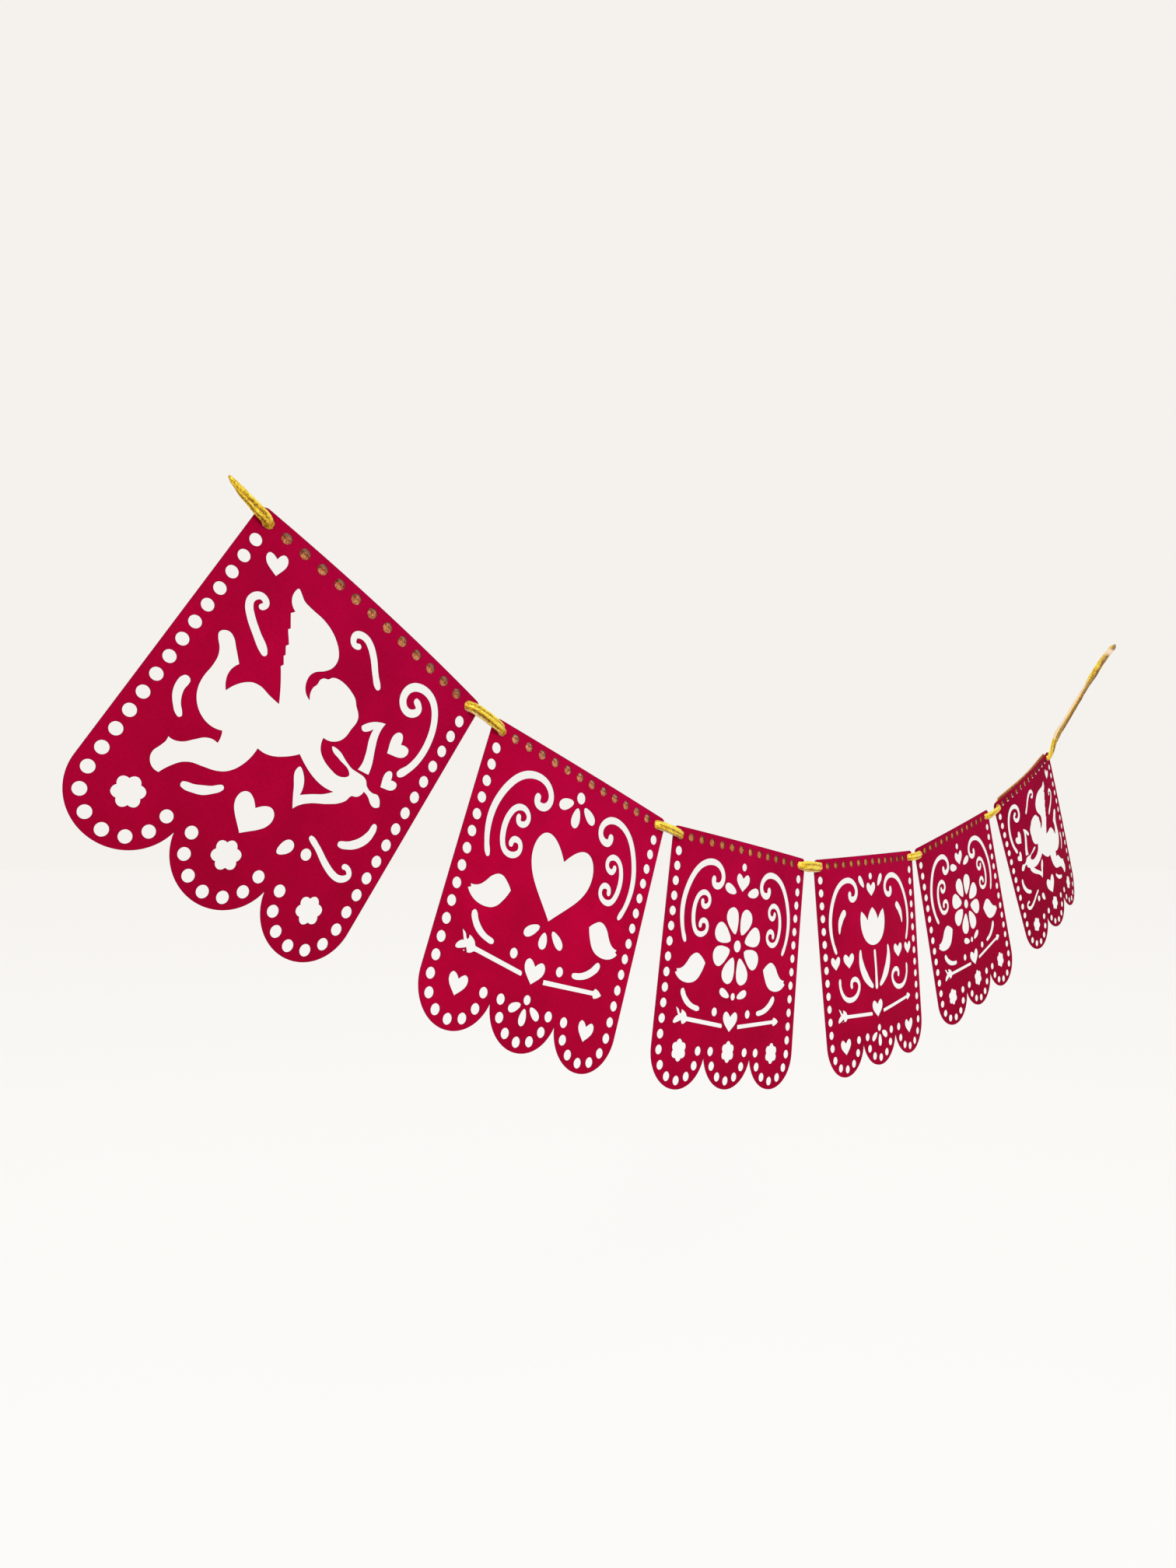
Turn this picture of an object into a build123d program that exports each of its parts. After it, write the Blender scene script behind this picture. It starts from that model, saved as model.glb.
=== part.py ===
from build123d import *
import math
import os

# Six cut paper cards hang side by side on one gold ribbon. Everything is in millimetres.
# X runs along the bunting to the viewer's right, Y away from the viewer and Z up.
# The origin is the left end of the ribbon, where it is held.

# Sizes of a card
CARD_WIDTH = 142.0
CARD_HEIGHT = 154.5
CARD_THICKNESS = 0.4
TOP_MARGIN = 5.2
SIDE_MARGIN = 6.5
CORNER_RADIUS = 4.0

# The scallops along the bottom are equal circles, and neighbours overlap a little
SCALLOPS = 3
SCALLOP_OVERLAP = 1.0
SCALLOP_PITCH = (CARD_WIDTH - SCALLOP_OVERLAP) / SCALLOPS
SCALLOP_RADIUS = (SCALLOP_PITCH + SCALLOP_OVERLAP) / 2
SCALLOP_DROP = CARD_HEIGHT - TOP_MARGIN - SCALLOP_RADIUS

# Round holes: a row along the top for the ribbon, dots down both sides and a ring of dots in each scallop
HOLE_SPAN = CARD_WIDTH - 2 * SIDE_MARGIN
ROW_HOLES = 14
ROW_HOLE_DIAMETER = 5.0
DOT_DIAMETER = 5.6
FIRST_DOT_DROP = 9.6
SIDE_DOTS = 13
RING_DOTS = 7
RING_RADIUS = SCALLOP_RADIUS - SIDE_MARGIN
RING_SINK = 1.3
RING_DROP = SCALLOP_DROP + RING_SINK
SIDE_PITCH = (RING_DROP - FIRST_DOT_DROP) / SIDE_DOTS

# The ornaments are drawn for this spread and drop of the dots, and are stretched to the card's own
DRAWN_SPAN = 129.0
DRAWN_DROP = 126.6
DRAWN_PITCH = 47.0

# How the cards hang, from left to right. The gaps are between their edges.
CARD_SLOPES = (-31.5, -20.5, -8.5, 3.0, 15.0, 24.0)
CARD_TILTS = (5.5, 0.0, 1.0, -1.0, -1.0, -1.5)
GAPS = (11.0, 9.0, 12.0, 5.0, 15.0)
FIRST_HOLE = (19.0, -15.0)

# The ribbon, gathered to the thickness of a slim cord. It passes behind each card between the card's two
# end holes, and in front of the card at its edges and across the gaps. Each line is one pass: out in front
# of a left hole and behind it, then behind a right hole and out in front of it.
RIBBON_THICKNESS = 3.0
RIBBON_CLEARANCE = 1.3
END_HOLE_DIAMETER = RIBBON_THICKNESS + 2 * RIBBON_CLEARANCE
RIBBON_BEND = 0.45
RIBBON_ROUTE = (
    (0, 0, 0),
    (17.3, -2.3, -14), (20.7, 2.3, -16), (127.3, 2.3, -81.4), (130.7, -2.3, -83.4),
    (148.7, -2.3, -92.2), (152.4, 2.3, -93.6), (269.5, 2.3, -137.4), (273.3, -2.3, -138.8),
    (290.7, -2.3, -143.3), (294.7, 2.3, -143.9), (418.3, 2.3, -162.4), (422.3, -2.3, -163),
    (443.2, -2.3, -164), (447.2, 2.3, -163.8), (572.1, 2.3, -157.2), (576.1, -2.3, -157),
    (589.9, -2.3, -154.8), (593.8, 2.3, -153.8), (714.5, 2.3, -121.4), (718.4, -2.3, -120.4),
    (741, -2.3, -112.4), (744.7, 2.3, -110.8), (858.9, 2.3, -59.9), (862.5, -2.3, -58.3),
    # The loose end, which is held up at its tip
    (880.5, -1.5, -35.5), (914, 1, -18), (948.5, -1, 10), (997, 1, 40), (1022, -1, 60.5), (1069, 0, 85),
)

# Round stretches are cut as short straight facets
FACET_TURN = math.radians(24)
FACET_DEPTH = 0.15
DOT_SIDES = 8
HEART_SIDES = 20
LEAF_SIDES = 12
CAP_STEPS = 4
CURVE_LOOKS = 80


def turned(points, x, z, angle):
    """The points turned by angle degrees about the origin, then moved to x, z."""
    c, s = math.cos(math.radians(angle)), math.sin(math.radians(angle))
    return [(x + c * px - s * pz, z + s * px + c * pz) for px, pz in points]


def mirrored(outlines):
    """The same outlines on the other side of the card's centre line."""
    return [[(-x, z) for x, z in outline] for outline in outlines]


def between(values, share):
    """The value at a share of the way along a list of evenly spaced values."""
    place = share * (len(values) - 1)
    first = min(int(place), len(values) - 2)
    return values[first] + (values[first + 1] - values[first]) * (place - first)


def facet_places(curve):
    """Places from 0 to 1 along a curve, closer together where it bends."""
    looks = [i / CURVE_LOOKS for i in range(CURVE_LOOKS + 1)]
    spots = [curve.position_at(t) for t in looks]
    ways = [curve.tangent_at(t) for t in looks]
    needed = [0.0]
    for i in range(CURVE_LOOKS):
        turn = math.radians(ways[i].get_angle(ways[i + 1]))
        step = (spots[i + 1] - spots[i]).length
        needed.append(needed[-1] + max(turn / FACET_TURN, math.sqrt(turn * step / (8 * FACET_DEPTH))))
    count = max(1, math.ceil(needed[-1]))
    places = []
    for k in range(count + 1):
        goal = needed[-1] * k / count
        i = min(next(j for j in range(1, CURVE_LOOKS + 1) if needed[j] >= goal - 1e-9), CURVE_LOOKS)
        span = needed[i] - needed[i - 1]
        share = (goal - needed[i - 1]) / span if span > 0 else 0
        places.append(looks[i - 1] + share / CURVE_LOOKS)
    return places


def dot(x, z, diameter=DOT_DIAMETER):
    """A round hole."""
    first = 180 / DOT_SIDES
    step = 360 / DOT_SIDES
    ring = [math.radians(first + step * i) for i in range(DOT_SIDES)]
    return [(x + diameter / 2 * math.cos(a), z + diameter / 2 * math.sin(a)) for a in ring]


def heart(x, z, width, height, angle=0, sides=HEART_SIDES):
    """A heart centred on x, z, point down, turned by angle degrees."""
    points = []
    for i in range(sides):
        a = 2 * math.pi * i / sides
        up = 13 * math.cos(a) - 5 * math.cos(2 * a) - 2 * math.cos(3 * a) - math.cos(4 * a)
        across = math.sin(a) * abs(math.sin(a))
        points.append((-width / 2 * across, (up + 2.5) * height / 29))
    return turned(points, x, z, angle)


def leaf(x, z, length, width, angle, blunt=0.25):
    """A leaf or drop, wider towards the end that angle points at."""
    points = []
    for i in range(LEAF_SIDES):
        a = 2 * math.pi * i / LEAF_SIDES
        points.append((length / 2 * math.cos(a), width / 2 * math.sin(a) * (1 + blunt * math.cos(a))))
    return turned(points, x, z, angle)


def rosette(x, z, outer=6.7, inner=5.3, petals=6):
    """A small flower with round petals that meet in notches."""
    points = []
    for i in range(4 * petals):
        a = math.pi / 2 + 2 * math.pi * i / (4 * petals)
        r = inner + (outer - inner) * abs(math.cos(petals / 2 * (a - math.pi / 2)))
        points.append((x + r * math.cos(a), z + r * math.sin(a)))
    return points


def stroke(points, widths):
    """A brush stroke along a smooth line through points, with round ends and the given widths along it."""
    line = Spline(*points)
    places = facet_places(line)
    sides = ([], [])
    for t in places:
        spot, way = line.position_at(t), line.tangent_at(t)
        half = between(widths, t) / 2
        sides[0].append((spot.X - way.Y * half, spot.Y + way.X * half))
        sides[1].append((spot.X + way.Y * half, spot.Y - way.X * half))
    caps = []
    for t, sign in ((1, 1), (0, -1)):
        spot, way = line.position_at(t), line.tangent_at(t) * sign
        half = between(widths, t) / 2
        cap = []
        for i in range(1, CAP_STEPS):
            a = math.pi / 2 - math.pi * i / CAP_STEPS
            along, across = half * math.cos(a), half * math.sin(a)
            cap.append((spot.X + way.X * along - way.Y * across, spot.Y + way.Y * along + way.X * across))
        caps.append(cap)
    return sides[0] + caps[0] + sides[1][::-1] + caps[1]


def outline(*runs):
    """A closed outline of smooth runs that meet at corners. Each run ends where the next begins."""
    points = []
    for i, run in enumerate(runs):
        through = list(run) + [runs[(i + 1) % len(runs)][0]]
        if len(through) == 2:
            points.append(through[0])
            continue
        curve = Spline(*through)
        spots = [curve.position_at(t) for t in facet_places(curve)[:-1]]
        points += [(spot.X, spot.Y) for spot in spots]
    return points


def scallop_middles():
    """The scallops' middles along the card."""
    return [(i - (SCALLOPS - 1) / 2) * SCALLOP_PITCH for i in range(SCALLOPS)]


def card_outline():
    """The card's edge, with round top corners and half-round scallops along the bottom."""
    half = CARD_WIDTH / 2
    top = TOP_MARGIN - CORNER_RADIUS
    points = []
    for side, start in ((1, 0), (-1, 90)):
        for i in range(CAP_STEPS + 1):
            a = math.radians(start + 90 * i / CAP_STEPS)
            x = side * (half - CORNER_RADIUS) + CORNER_RADIUS * math.cos(a)
            points.append((x, top + CORNER_RADIUS * math.sin(a)))
    # Neighbouring scallops cross at a cusp
    steps = math.ceil(math.pi / (2 * math.acos(1 - FACET_DEPTH / SCALLOP_RADIUS)))
    cusp = math.acos(SCALLOP_PITCH / 2 / SCALLOP_RADIUS)
    middles = scallop_middles()
    for middle in middles:
        first = math.pi if middle == middles[0] else math.pi + cusp
        last = 2 * math.pi if middle == middles[-1] else 2 * math.pi - cusp
        for i in range(0 if middle == middles[0] else 1, steps + 1):
            a = first + (last - first) * i / steps
            points.append((middle + SCALLOP_RADIUS * math.cos(a), -SCALLOP_DROP + SCALLOP_RADIUS * math.sin(a)))
    return points


def dot_border():
    """The row of holes for the ribbon, the dots down both sides and a ring of dots in each scallop."""
    half = HOLE_SPAN / 2
    holes = [dot(-half, 0, END_HOLE_DIAMETER), dot(half, 0, END_HOLE_DIAMETER)]
    for i in range(1, ROW_HOLES - 1):
        holes.append(dot(-half + HOLE_SPAN * i / (ROW_HOLES - 1), 0, ROW_HOLE_DIAMETER))
    for i in range(SIDE_DOTS):
        z = -FIRST_DOT_DROP - SIDE_PITCH * i
        holes += [dot(-half, z), dot(half, z)]
    for middle in scallop_middles():
        for i in range(RING_DOTS):
            a = math.pi + math.pi * i / (RING_DOTS - 1)
            holes.append(dot(middle + RING_RADIUS * math.cos(a), -RING_DROP + RING_RADIUS * math.sin(a)))
    return holes


# Ornaments, in card millimetres: x from the centre line and z from the row of ribbon holes


def cupid():
    """A flying cupid seen from the side, with its wing up and its bow drawn to the right."""
    wing = outline(
        [(-39, -16), (-38.2, -14.2), (-35, -16), (-28, -17.5), (-19, -18.3), (-11, -22), (-6, -28.5),
         (-7.5, -35), (-12.5, -40.5), (-12, -47)],
        # From the notch behind the neck round the curls of the head
        [(-7, -51), (-8.8, -45.5)],
        [(-8, -43), (-7.8, -40)],
        [(-5, -38), (-3, -35.6), (1, -34.6), (6.5, -35.2)],
        [(11, -37), (13.5, -39.5)],
        [(15.5, -41), (17.2, -43.5), (17, -50), (16.5, -54.5), (13, -59)],
        # Under the chin, then the upper arm and the hand that draws the string
        [(8, -60.6), (12, -67.4), (18, -69.5), (26, -69.3), (28.2, -66.8)],
        [(27.2, -65.5)],
        [(20, -63.8)],
        [(14.6, -62.3), (13.7, -61.2), (16.5, -60.5), (22, -61.8), (29, -63.4), (36, -63)],
        # The arrow
        [(38.8, -65.2), (42.5, -66.3)],
        [(44.5, -66), (46.5, -65.5), (48.8, -66.8)],
        [(50.4, -69.4), (46, -71.2), (43.6, -70)],
        [(42.5, -69.2)],
        # The bow's lower limb and the slack of the string
        [(39.2, -68.4), (38.2, -71.5)],
        [(35, -73.5), (33, -78), (29, -81.8), (20.5, -87), (16.5, -90.2)],
        [(13.7, -94.4), (10.5, -89.5)],
        [(5.3, -78.8), (6, -77.4)],
        [(8, -78)],
        [(13.2, -87.5)],
        [(17.5, -84.2)],
        [(22.5, -80.8)],
        [(26, -77.2), (19, -78.2), (10, -76.4)],
        # The belly and the lower leg
        [(2.8, -73.1), (-4.8, -79.8), (-9, -81.8)],
        [(-14.2, -82.2), (-15.2, -90), (-20, -98), (-28, -101.6), (-35.5, -104), (-40.2, -109.8)],
        [(-42, -113.7), (-47.3, -111.8), (-48.6, -108.8), (-47.3, -104)],
        [(-47, -99.6), (-40, -97), (-35, -91.6)],
        [(-29.5, -90.3), (-29.8, -87.5)],
        # The upper leg, with its foot raised
        [(-30.8, -85), (-40, -85.4), (-46.5, -80.5), (-49.3, -73.5), (-49.2, -62), (-51.5, -56.5),
         (-54.6, -51.6), (-52, -49.1), (-46, -52.2)],
        [(-40.6, -57.7), (-42, -61.5)],
        [(-38.9, -70.2), (-35.5, -63.8), (-30, -59.9), (-24.5, -60.2)],
        # The wing's trailing edge, tooth by tooth
        [(-17.4, -61), (-21.8, -53.3)],
        [(-25.9, -47.3)],
        [(-25.3, -45.8)],
        [(-27.4, -42.8)],
        [(-27, -41.8)],
        [(-29.1, -38.6)],
        [(-28.3, -37.2)],
        [(-32.3, -32.1)],
        [(-31.6, -31)],
        [(-35.3, -25.5)],
        [(-34, -23.6)],
    )
    upper_limb = outline(
        [(20.4, -44.8), (22, -42.2)],
        [(30.4, -36.4), (30.5, -43.5), (34.5, -53.5)],
        [(36.6, -60.8)],
        [(30.4, -62), (29.8, -54.5), (27, -47)],
        [(26.3, -42.4), (21.2, -45.9)],
    )
    return [wing, upper_limb]


def cupid_card():
    """The cupid with a scroll, curls, hearts and leaves about it and a rosette in each scallop."""
    scroll = [(50.5, -50.5), (54.8, -41), (55.3, -30), (51.5, -18), (45, -11.5), (37.5, -10.7), (31.3, -15),
              (31.5, -22), (37, -24.7), (41.2, -21), (38.2, -17.8)]
    curl = [(16.8, -25.3), (9, -17.5), (3, -12.5), (-2, -11.2), (-5.8, -13.7), (-4.4, -17), (-1.6, -16.6)]
    hook = [(-35, -47), (-42, -42.4), (-49, -37), (-52, -31.5), (-49, -27.8), (-46, -29), (-46.6, -31.6)]
    wave = [(29, -100), (38, -103.8), (47, -107.3), (53, -106.8), (55.3, -103.5), (53, -101.4),
            (50.8, -101.6)]
    return cupid() + [
        stroke(scroll, (3.6, 3.9, 4, 4.1, 4.1, 3.6)),
        stroke(curl, (3.2, 3.6, 3.7, 3.4, 2.8)),
        stroke(hook, (3.2, 3.8, 3.8, 3.4, 2.8)),
        stroke(wave, (2.5, 3.2, 3.4, 3.2, 2.6)),
        stroke([(-54.3, -76.8), (-54.2, -82), (-51.8, -86.5), (-48.6, -89.6)], (4.2, 4.2, 3.4, 2.6)),
        stroke([(-17.8, -104.8), (-22.5, -109.2), (-31, -112.3)], (2.6, 4.0, 3.0)),
        stroke([(53.7, -78.6), (53.5, -84), (50, -90), (43, -94.4)], (3.4, 4.6, 4.2, 3.0)),
        heart(-51.6, -12.4, 10, 9.8, 28),
        heart(41.6, -41.8, 12.2, 11.6, -28),
        heart(47.3, -57.8, 9.4, 8.8, -28),
        heart(-0.6, -107.7, 19.2, 16.6),
        leaf(20.7, -110, 9, 5.6, 60),
        dot(31, -107.2, 5.4),
    ] + [rosette(x, -126.5) for x in (-DRAWN_PITCH, 0, DRAWN_PITCH)]


def big_scroll():
    """The scroll that curves round a top corner of a card, here the left one."""
    line = [(-51.3, -61.5), (-55.3, -51), (-55.8, -39), (-51.5, -26), (-43.5, -15.8), (-33.5, -11.8),
            (-24.5, -13.8), (-20.6, -20.5), (-23.5, -25.3), (-28.6, -25.3), (-29.6, -22)]
    return stroke(line, (3.0, 4.2, 4.2, 4.0, 4.0, 4.4))


def double_curl():
    """A C shape whose two ends curl inwards, on the left of a card."""
    line = [(-38.4, -36.8), (-36.8, -39.6), (-33, -38.6), (-31.9, -34.8), (-35.5, -31.4), (-41, -32.5),
            (-45, -39), (-45.3, -49), (-41.5, -56), (-36, -56.7), (-31.9, -53), (-33.3, -48.9),
            (-37.2, -48.6), (-38.6, -51.4)]
    return stroke(line, (3.4, 3.1, 3.5, 3.9, 3.5, 3.1, 3.4))


def bird():
    """A plump bird that looks towards the middle, on the left of a card."""
    return outline(
        [(-30.2, -73.8), (-33, -71.2), (-38.5, -68.3), (-45, -71.2), (-49.5, -76.6), (-52.5, -78.4)],
        [(-56.3, -79)],
        [(-55.5, -80.4)],
        [(-57.3, -81.4), (-53, -85), (-45, -86.7), (-37.3, -84.6), (-33, -79.5)],
    )


def arrow_tail():
    """The feathered end of an arrow, with its shaft."""
    return outline(
        [(-53.3, -101.3)],
        [(-50.5, -102.6), (-48.4, -105)],
        [(-48.2, -102.6), (-45.2, -103.6)],
        [(-42, -106.8)],
        [(-9.4, -109.6)],
        [(-8.7, -112.2)],
        [(-42, -109.4), (-45.2, -111)],
        [(-49.5, -111)],
        [(-48, -109)],
        [(-50.8, -110.2), (-54.8, -109.8), (-53.8, -108)],
        [(-50.7, -106.2)],
    )


def arrow_head():
    """The pointed end of the arrow, with its shaft."""
    return outline(
        [(7.4, -109.7)],
        [(45.4, -105.2)],
        [(46.6, -103.5), (49.5, -104)],
        [(52.6, -105.9), (49.8, -108)],
        [(46.8, -109)],
        [(45.6, -107.6)],
        [(7.6, -112.3)],
    )


def sprig(x, z, size=1.0):
    """A dot over three leaves that spread from a point."""
    return [
        dot(x, z, DOT_DIAMETER * size),
        leaf(x - 8 * size, z - 6 * size, 10 * size, 5.2 * size, 210),
        leaf(x + 8 * size, z - 6 * size, 10 * size, 5.2 * size, -30),
        leaf(x, z - 10 * size, 10 * size, 5.6 * size, 270),
    ]


def arrow_through_heart():
    """An arrow that seems to pass behind a heart."""
    return [arrow_tail(), arrow_head(), heart(-0.6, -108.2, 15, 12.6)]


def side_ornaments():
    """What stands on the left of the middle motif on three of the cards, and mirrored on its right."""
    return [big_scroll(), double_curl(), bird(), dot(-17.2, -102.7, 5.4)]


def commas():
    """The comma under each bird. The right one stands a little further in than the left one."""
    left = stroke([(-48.7, -92), (-45, -97), (-39.5, -100.2), (-33.2, -101.5)], (4.0, 4.2, 3.4, 2.8))
    right = stroke([(44.2, -91.9), (40.4, -96.3), (35, -99.8), (27.8, -101.6)], (4.4, 4.4, 3.8, 2.8))
    return [left, right]


def daisy():
    """Eight petals about an uncut disc with a round eye."""
    petals = []
    for i in range(8):
        a = 22.5 + 45 * i
        x, z = 16.6 * math.cos(math.radians(a)), 16.6 * math.sin(math.radians(a))
        petals.append(leaf(x, -61 + z, 17.5, 11.5, a, 0.45))
    below = [leaf(side * 9, -91, 11, 5, 90 - side * 70) for side in (-1, 1)]
    return petals + below + [dot(0, -61, 7.5), dot(0, -92.5, 4.6)]


def great_heart():
    """A large heart over a spray of three leaves."""
    spray = [leaf(0, -91, 9, 6, 270), leaf(-9.5, -88, 12, 5.4, 215), leaf(9.5, -88, 12, 5.4, -35)]
    return [heart(0, -58.5, 47, 44, sides=2 * HEART_SIDES)] + spray


def tulip():
    """A tulip on a stem between two long leaves."""
    bloom = outline(
        [(-16, -35.5), (-11, -38.5)],
        [(-7.5, -42.5), (-4.5, -37)],
        [(0, -33.5), (4.5, -37)],
        [(7.5, -42.5), (11, -38.5)],
        [(16, -35.5), (17.3, -47), (11.5, -57.5), (0, -61.5), (-11.5, -57.5), (-17.3, -47)],
    )
    stem = stroke([(0, -66.5), (0.4, -79), (0, -92)], (3.6, 3.4, 4.2))
    blade = stroke([(-20, -64.5), (-19.5, -74), (-14, -84), (-6, -91)], (3.0, 7.0, 7.4, 3.4))
    return [bloom, stem, blade] + mirrored([blade])


def scallop_sprig(z, width):
    """Heart, sprig and heart, one to a scallop, with the hearts' middle height and width."""
    hearts = [heart(x, z, width, 11) for x in (-DRAWN_PITCH, DRAWN_PITCH)]
    return hearts + sprig(0, -122.4, 0.9)


def heart_card():
    """A great heart between scrolls, with birds and an arrow under it."""
    side = side_ornaments()
    below = commas() + arrow_through_heart() + scallop_sprig(-127.3, 12.4)
    return great_heart() + side + mirrored(side) + sprig(0, -10.4, 1.15) + below


def daisy_card():
    """A daisy between scrolls, with birds and an arrow under it and a rosette in each scallop."""
    side = side_ornaments() + [leaf(-12, -26, 12.5, 6, 165)]
    top = [dot(0, -10.6, 5), heart(0, -20.8, 14, 11.4)]
    rosettes = [rosette(x, -126.5) for x in (-DRAWN_PITCH, 0, DRAWN_PITCH)]
    return daisy() + side + mirrored(side) + top + commas() + arrow_through_heart() + rosettes


def tulip_card():
    """A tulip between scrolls, with pairs of hearts and curls at its sides."""
    curl = [(-49, -82), (-48.6, -88), (-43.5, -95), (-35, -97), (-26.8, -93.5), (-24.4, -87.5),
            (-28.3, -83.3), (-33.6, -84), (-34.4, -87.6)]
    side = [
        big_scroll(),
        stroke([(-38.4, -35), (-42.5, -39), (-45.5, -48)], (5.4, 5.6, 2.4)),
        heart(-52.8, -69.4, 11.6, 9.6),
        heart(-36, -69.4, 14, 10.6),
        stroke(curl, (3.2, 3.6, 3.8, 3.6, 3.6)),
        leaf(-13.2, -14, 11, 5.2, 128),
    ]
    top = [dot(0, -10.6, 5), heart(0, -20.4, 13, 10.4)]
    return tulip() + side + mirrored(side) + top + arrow_through_heart() + scallop_sprig(-128.8, 13.6)


def fitted(outlines):
    """The ornaments, stretched from the size they are drawn at to the card's own."""
    wide, deep = HOLE_SPAN / DRAWN_SPAN, RING_DROP / DRAWN_DROP
    return [[(x * wide, z * deep) for x, z in outline] for outline in outlines]


def card(ornaments):
    """One flat card about the middle of its row of ribbon holes, with every cut-out through it."""
    cuts = fitted(ornaments) + dot_border()
    flat = Face(ring(card_outline()), [ring(cut) for cut in cuts])
    return extrude(flat, amount=CARD_THICKNESS / 2, both=True)


def ring(points):
    """A closed wire through points of the card's plane."""
    return Wire.make_polygon([(x, 0, z) for x, z in points], close=True)


def ribbon():
    """The ribbon as a slim six-sided cord of straight runs joined by tangent arcs."""
    route = [Vector(*point) for point in RIBBON_ROUTE]
    radii = []
    for before, corner, after in zip(route, route[1:], route[2:]):
        turn = math.radians((corner - before).get_angle(after - corner))
        shorter = min((corner - before).length, (after - corner).length)
        radii.append(RIBBON_BEND * shorter / math.tan(turn / 2))
    path = FilletPolyline(*route, radius=radii)
    section = Plane(origin=path @ 0, z_dir=path % 0) * RegularPolygon(RIBBON_THICKNESS / 2, 6)
    print("ribbon radii", [round(radius, 1) for radius in radii])
    print("ribbon length", round(path.length, 1), "times section", round(section.area * path.length, 1))
    return sweep(section, path=path)


def hanging_places():
    """Where each card's row of holes lies: (middle of the row, slope) for each card."""
    x, z = FIRST_HOLE
    places = []
    for i, slope in enumerate(CARD_SLOPES):
        a = math.radians(slope)
        places.append((x + HOLE_SPAN / 2 * math.cos(a), z + HOLE_SPAN / 2 * math.sin(a), slope))
        x, z = x + HOLE_SPAN * math.cos(a), z + HOLE_SPAN * math.sin(a)
        if i < len(GAPS):
            bridge = math.radians((slope + CARD_SLOPES[i + 1]) / 2)
            length = GAPS[i] + 2 * SIDE_MARGIN
            x, z = x + length * math.cos(bridge), z + length * math.sin(bridge)
    return places


if __name__ == "__main__":
    os.makedirs("parts", exist_ok=True)
    left_cupid = cupid_card()
    designs = {
        "card_1_cupid": left_cupid,
        "card_2_heart": heart_card(),
        "card_3_daisy": daisy_card(),
        "card_4_tulip": tulip_card(),
        "card_5_daisy": daisy_card(),
        "card_6_cupid": mirrored(left_cupid),
    }
    pieces = {"ribbon": ribbon()}
    for (name, ornaments), (x, z, slope), tilt in zip(designs.items(), hanging_places(), CARD_TILTS):
        pieces[name] = Pos(x, 0, z) * Rot(0, -slope, 0) * Rot(tilt, 0, 0) * card(ornaments)
    for name, piece in pieces.items():
        export_step(piece, f"parts/{name}.step")
        print(name, "volume", round(piece.volume, 1))
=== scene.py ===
import math

import bpy
import bmesh
import numpy as np
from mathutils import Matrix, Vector, geometry, noise

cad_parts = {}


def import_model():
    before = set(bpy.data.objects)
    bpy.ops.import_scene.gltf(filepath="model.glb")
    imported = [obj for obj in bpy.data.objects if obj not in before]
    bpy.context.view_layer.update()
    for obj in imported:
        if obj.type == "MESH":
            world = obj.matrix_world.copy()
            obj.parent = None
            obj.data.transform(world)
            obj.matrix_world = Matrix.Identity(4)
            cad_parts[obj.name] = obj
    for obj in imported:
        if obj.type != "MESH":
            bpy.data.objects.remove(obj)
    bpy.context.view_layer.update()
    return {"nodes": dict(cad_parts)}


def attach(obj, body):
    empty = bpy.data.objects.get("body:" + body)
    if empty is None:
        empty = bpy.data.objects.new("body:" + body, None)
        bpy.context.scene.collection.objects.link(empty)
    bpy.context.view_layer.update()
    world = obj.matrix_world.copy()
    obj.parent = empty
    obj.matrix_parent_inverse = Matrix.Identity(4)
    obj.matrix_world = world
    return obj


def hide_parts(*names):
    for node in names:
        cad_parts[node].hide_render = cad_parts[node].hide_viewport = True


# A paper bunting: six cut cards hang side by side on one gold ribbon.
# Metres, X along the bunting to the viewer's right, Y away from the viewer, Z up.

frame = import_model()

MM = 0.001

# Camera, at the photograph's viewing angle
CAMERA_PLACE = (-0.2001, -0.4073, -0.1575)
CAMERA_FORWARD = (0.7107, 0.7001, 0.0697)
CAMERA_LENS = 24.27
CAMERA_SENSOR = 36.0
CAMERA_NEAR = 0.01
CAMERA_FAR = 100

# Card sizes in millimetres: from the top edge to the row of holes, from the middle to an end hole and to a
# side edge, from the row of holes to where the lower corners bend fully, and the sheet's thickness
TOP_MARGIN = 5.2
HALF_SPAN = 64.5
HALF_WIDTH = 71.0
BEND_DROP = 140.0
CARD_THICKNESS = 0.4

# How far the middle, the lower left corner and the lower right corner of each card bend towards the
# viewer, in millimetres
CARDS = {
    "card_1_cupid": (3.4, -1.8, 0.3),
    "card_2_heart": (0.8, 1.9, 0.4),
    "card_3_daisy": (1.8, 0.2, 2.4),
    "card_4_tulip": (2.4, 2.8, -0.4),
    "card_5_daisy": (0.8, -1.8, 1.6),
    "card_6_cupid": (3.0, 1.5, -3.5),
}

# The red of each card's paper from 0 to 255, which differs a little from card to card: partly the dye and
# partly painted shade, darker towards the far end of the row
CARD_DYE_AND_SHADE = (172, 182, 175, 172, 161, 151)
# Share of that red, and blue over red, at a card's top, middle, foot and left side
SHADES = ((0.98, 0.318), (1.0, 0.292), (0.912, 0.272), (0.96, 0.284))


def camera():
    data = bpy.data.cameras.new("camera")
    data.lens = CAMERA_LENS
    data.sensor_width = CAMERA_SENSOR
    data.clip_start = CAMERA_NEAR
    data.clip_end = CAMERA_FAR
    thing = bpy.data.objects.new("camera", data)
    bpy.context.scene.collection.objects.link(thing)
    thing.location = CAMERA_PLACE
    thing.rotation_euler = Vector(CAMERA_FORWARD).to_track_quat("-Z", "Y").to_euler()
    bpy.context.scene.camera = thing


# Shader helpers

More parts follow.
